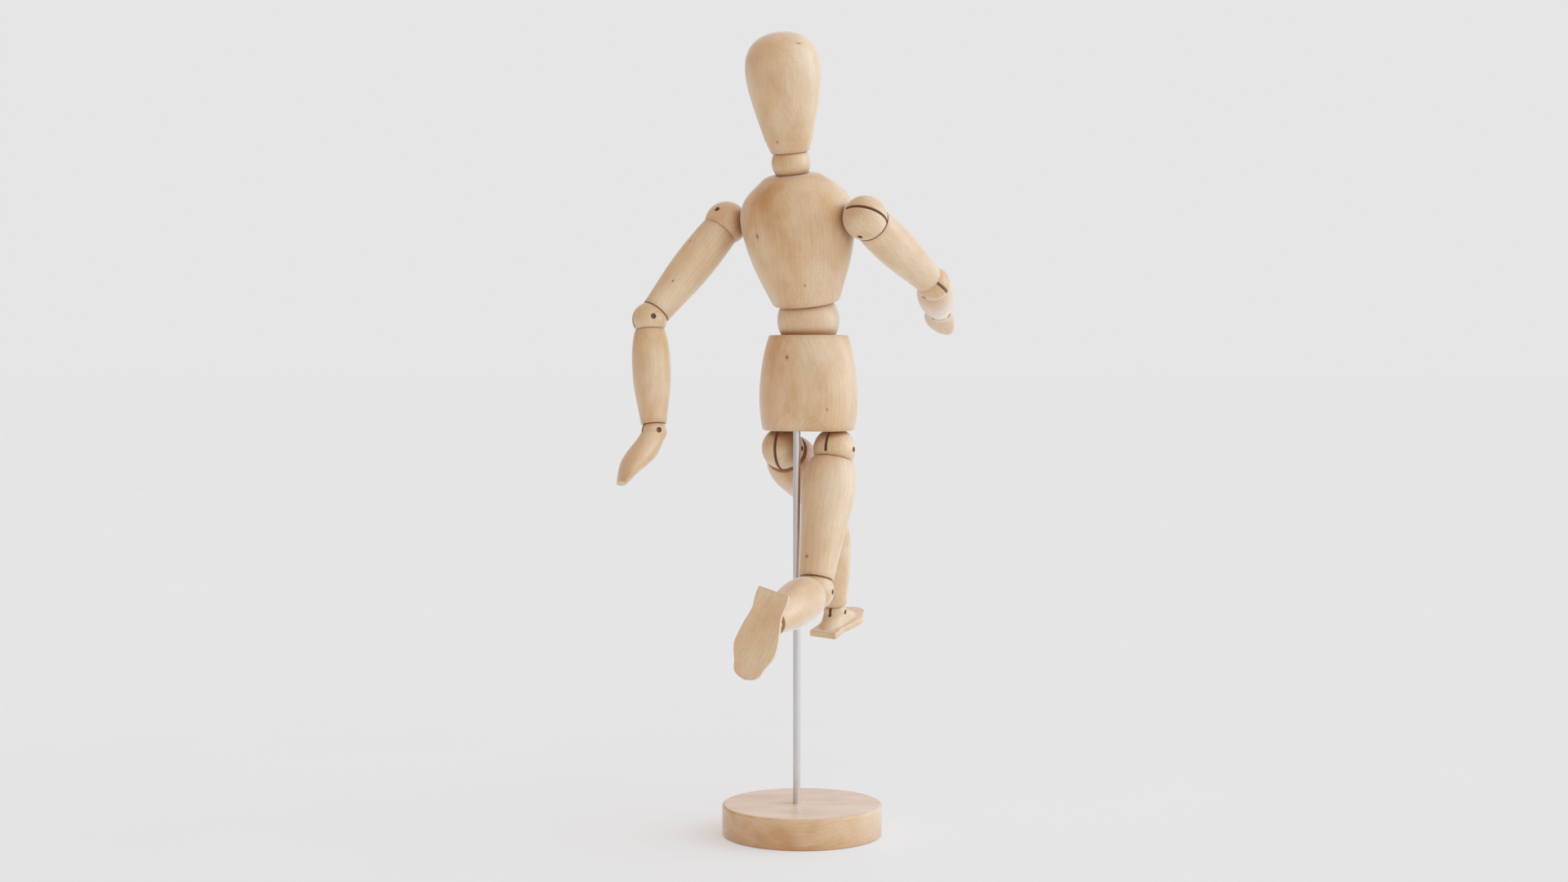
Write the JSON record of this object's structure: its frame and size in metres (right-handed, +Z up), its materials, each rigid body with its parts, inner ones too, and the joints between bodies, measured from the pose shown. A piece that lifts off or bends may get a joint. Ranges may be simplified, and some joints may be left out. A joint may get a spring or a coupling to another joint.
{
  "type": "jointed artist mannequin",
  "caption": "Jointed wooden artist's figure in a running pose, held by its pelvis on a thin steel rod in a round wooden base; ball joints with pins, links and springs",
  "frame": {"origin": "centre of the underside of the round base", "axes": "+Z up, the figure's pelvis faces -Y, the figure's left side is +X"},
  "size_m": [0.1081, 0.1809, 0.3283],
  "materials": {
    "wood_light": "sanded, clear matt varnish",
    "steel": "bright drawn wire",
    "rod_steel": "smooth drawn rod"
  },
  "bodies": {
    "base": {"base": "wood_light", "rod": "rod_steel"},
    "pelvis": {"pelvis": "wood_light", "waist_loop": "steel"},
    "waist_ball": {"waist_ball": "wood_light"},
    "waist_link": {"waist_link": "steel"},
    "chest": {"chest": "wood_light", "shoulder_axle": "steel", "neck_loop": "steel"},
    "neck_ball": {"neck_ball": "wood_light"},
    "neck_link": {"neck_link": "steel"},
    "head": {"head": "wood_light"},
    "left_shoulder_ball": {"left_shoulder_ball": "wood_light", "left_shoulder_pin": "steel"},
    "left_shoulder_link": {"left_shoulder_link": "steel"},
    "left_upper_arm": {"left_upper_arm": "wood_light", "left_arm_spring": "steel", "left_elbow_link": "steel"},
    "left_forearm": {"left_forearm": "wood_light", "left_elbow_ball": "wood_light", "left_elbow_pin": "steel", "left_wrist_link": "steel"},
    "left_hand": {"left_hand": "wood_light", "left_wrist_pin": "steel"},
    "left_hip_link": {"left_hip_link": "steel"},
    "left_hip_ball": {"left_hip_ball": "wood_light", "left_hip_pin": "steel"},
    "left_thigh": {"left_thigh": "wood_light", "left_thigh_spring": "steel", "left_knee_link": "steel"},
    "left_shin": {"left_shin": "wood_light", "left_knee_ball": "wood_light", "left_knee_pin": "steel"},
    "left_ankle_link": {"left_ankle_link": "steel"},
    "left_foot": {"left_foot": "wood_light", "left_ankle_pin": "steel"},
    "right_shoulder_ball": {"right_shoulder_ball": "wood_light", "right_shoulder_pin": "steel"},
    "right_shoulder_link": {"right_shoulder_link": "steel"},
    "right_upper_arm": {"right_upper_arm": "wood_light", "right_arm_spring": "steel", "right_elbow_link": "steel"},
    "right_forearm": {"right_forearm": "wood_light", "right_elbow_ball": "wood_light", "right_elbow_pin": "steel", "right_wrist_link": "steel"},
    "right_hand": {"right_hand": "wood_light", "right_wrist_pin": "steel"},
    "right_hip_link": {"right_hip_link": "steel"},
    "right_hip_ball": {"right_hip_ball": "wood_light", "right_hip_pin": "steel"},
    "right_thigh": {"right_thigh": "wood_light", "right_thigh_spring": "steel", "right_knee_link": "steel"},
    "right_shin": {"right_shin": "wood_light", "right_knee_ball": "wood_light", "right_knee_pin": "steel"},
    "right_ankle_link": {"right_ankle_link": "steel"},
    "right_foot": {"right_foot": "wood_light", "right_ankle_pin": "steel"}
  },
  "joints": [
    {"name": "pelvis_turn", "type": "hinge", "parent": "base", "child": "pelvis", "pos_m": [0.0019, 0.0012, 0], "axis": [0, 0, 1], "continuous": true},
    {"name": "waist_bend", "type": "hinge", "parent": "pelvis", "child": "waist_ball", "pos_m": [0.0019, -0.0093, 0.2123], "axis": [1, 0, 0], "range_deg": [-12, 35]},
    {"name": "waist_lean", "type": "hinge", "parent": "waist_ball", "child": "waist_link", "pos_m": [0.0019, -0.0093, 0.2123], "axis": [0, 0.9763, -0.2164], "range_deg": [-20, 20]},
    {"name": "waist_twist", "type": "hinge", "parent": "waist_link", "child": "chest", "pos_m": [0.0019, -0.0093, 0.2123], "axis": [0.0105, 0.2164, 0.9762], "range_deg": [-45, 45]},
    {"name": "neck_nod", "type": "hinge", "parent": "chest", "child": "neck_ball", "pos_m": [0.00258, 0.00483, 0.27605], "axis": [0.9986, -0.0534, 0.0011], "range_deg": [-20, 24]},
    {"name": "neck_tilt", "type": "hinge", "parent": "neck_ball", "child": "neck_link", "pos_m": [0.00258, 0.00483, 0.27605], "axis": [0.0526, 0.9802, -0.191], "range_deg": [-20, 20]},
    {"name": "neck_turn", "type": "hinge", "parent": "neck_link", "child": "head", "pos_m": [0.00258, 0.00483, 0.27605], "axis": [-0.0014, 0.1914, 0.9815], "range_deg": [-90, 90]},
    {"name": "left_shoulder_swing", "type": "hinge", "parent": "chest", "child": "left_shoulder_ball", "pos_m": [0.03542, 0.00047, 0.2528], "axis": [0.9986, -0.0534, 0.0011], "range_deg": [-150, 20]},
    {"name": "left_shoulder_raise", "type": "hinge", "parent": "left_shoulder_ball", "child": "left_shoulder_link", "pos_m": [0.03542, 0.00047, 0.2528], "axis": [-0.0417, -0.7924, -0.6086], "range_deg": [-12, 68]},
    {"name": "left_arm_twist", "type": "hinge", "parent": "left_shoulder_link", "child": "left_upper_arm", "pos_m": [0.03542, 0.00047, 0.2528], "axis": [0.3534, 0.558, -0.7508], "range_deg": [-90, 90]},
    {"name": "left_elbow", "type": "hinge", "parent": "left_upper_arm", "child": "left_forearm", "pos_m": [0.05451, 0.0306, 0.21225], "axis": [-0.6946, 0.6941, 0.189], "range_deg": [-39.8, 30]},
    {"name": "left_wrist", "type": "hinge", "parent": "left_forearm", "child": "left_hand", "pos_m": [0.04848, 0.037, 0.16659], "axis": [0.8019, -0.568, -0.1854], "range_deg": [-60, 7]},
    {"name": "left_hip_turn", "type": "hinge", "parent": "pelvis", "child": "left_hip_link", "pos_m": [0.014, -0.0093, 0.159], "axis": [0, 0, 1], "range_deg": [-5, 30]},
    {"name": "left_hip_swing", "type": "hinge", "parent": "left_hip_link", "child": "left_hip_ball", "pos_m": [0.014, -0.0093, 0.159], "axis": [-0.9945, -0.1045, 0], "range_deg": [-72, 10]},
    {"name": "left_thigh_twist", "type": "hinge", "parent": "left_hip_ball", "child": "left_thigh", "pos_m": [0.014, -0.0093, 0.159], "axis": [0.0923, -0.8781, -0.4695], "range_deg": [-30, 30]},
    {"name": "left_knee", "type": "hinge", "parent": "left_thigh", "child": "left_shin", "pos_m": [0.01954, -0.06199, 0.13083], "axis": [0.9957, 0.0758, 0.0539], "range_deg": [-44.5, 24]},
    {"name": "left_ankle_turn", "type": "hinge", "parent": "left_shin", "child": "left_ankle_link", "pos_m": [0.0232, -0.0766, 0.08368], "axis": [0.0741, -0.2952, -0.9526], "range_deg": [-40, 40]},
    {"name": "left_ankle", "type": "hinge", "parent": "left_ankle_link", "child": "left_foot", "pos_m": [0.0232, -0.0766, 0.08368], "axis": [0.9972, 0.0175, 0.0721], "range_deg": [-28, 20]},
    {"name": "right_shoulder_swing", "type": "hinge", "parent": "chest", "child": "right_shoulder_ball", "pos_m": [-0.03048, 0.00399, 0.25272], "axis": [0.9986, -0.0534, 0.0011], "range_deg": [-115, 38]},
    {"name": "right_shoulder_raise", "type": "hinge", "parent": "right_shoulder_ball", "child": "right_shoulder_link", "pos_m": [-0.03048, 0.00399, 0.25272], "axis": [0.0259, 0.4655, -0.8847], "range_deg": [-4, 80]},
    {"name": "right_arm_twist", "type": "hinge", "parent": "right_shoulder_link", "child": "right_upper_arm", "pos_m": [-0.03048, 0.00399, 0.25272], "axis": [-0.1646, -0.8709, -0.463], "range_deg": [-90, 90]},
    {"name": "right_elbow", "type": "hinge", "parent": "right_upper_arm", "child": "right_forearm", "pos_m": [-0.03937, -0.04304, 0.22772], "axis": [-0.4402, -0.3552, 0.8247], "range_deg": [-33, 36]},
    {"name": "right_wrist", "type": "hinge", "parent": "right_forearm", "child": "right_hand", "pos_m": [-0.02343, -0.08561, 0.21789], "axis": [0.8299, 0.1896, 0.5246], "range_deg": [-30, 38]},
    {"name": "right_hip_turn", "type": "hinge", "parent": "pelvis", "child": "right_hip_link", "pos_m": [-0.0102, -0.0093, 0.159], "axis": [0, 0, 1], "range_deg": [-2, 30]},
    {"name": "right_hip_swing", "type": "hinge", "parent": "right_hip_link", "child": "right_hip_ball", "pos_m": [-0.0102, -0.0093, 0.159], "axis": [0.9994, 0.0349, 0], "range_deg": [-88, 3]},
    {"name": "right_thigh_twist", "type": "hinge", "parent": "right_hip_ball", "child": "right_thigh", "pos_m": [-0.0102, -0.0093, 0.159], "axis": [-0.0112, 0.3221, -0.9466], "range_deg": [-30, 30]},
    {"name": "right_knee", "type": "hinge", "parent": "right_thigh", "child": "right_shin", "pos_m": [-0.01087, 0.01002, 0.1022], "axis": [0.9937, 0.109, 0.0253], "range_deg": [-61.4, 7.5]},
    {"name": "right_ankle_turn", "type": "hinge", "parent": "right_shin", "child": "right_ankle_link", "pos_m": [-0.01598, 0.05853, 0.09373], "axis": [-0.1031, 0.9798, -0.1711], "range_deg": [-40, 40]},
    {"name": "right_ankle", "type": "hinge", "parent": "right_ankle_link", "child": "right_foot", "pos_m": [-0.01598, 0.05853, 0.09373], "axis": [0.946, 0.1498, 0.2876], "range_deg": [-40, 6]}
  ]
}
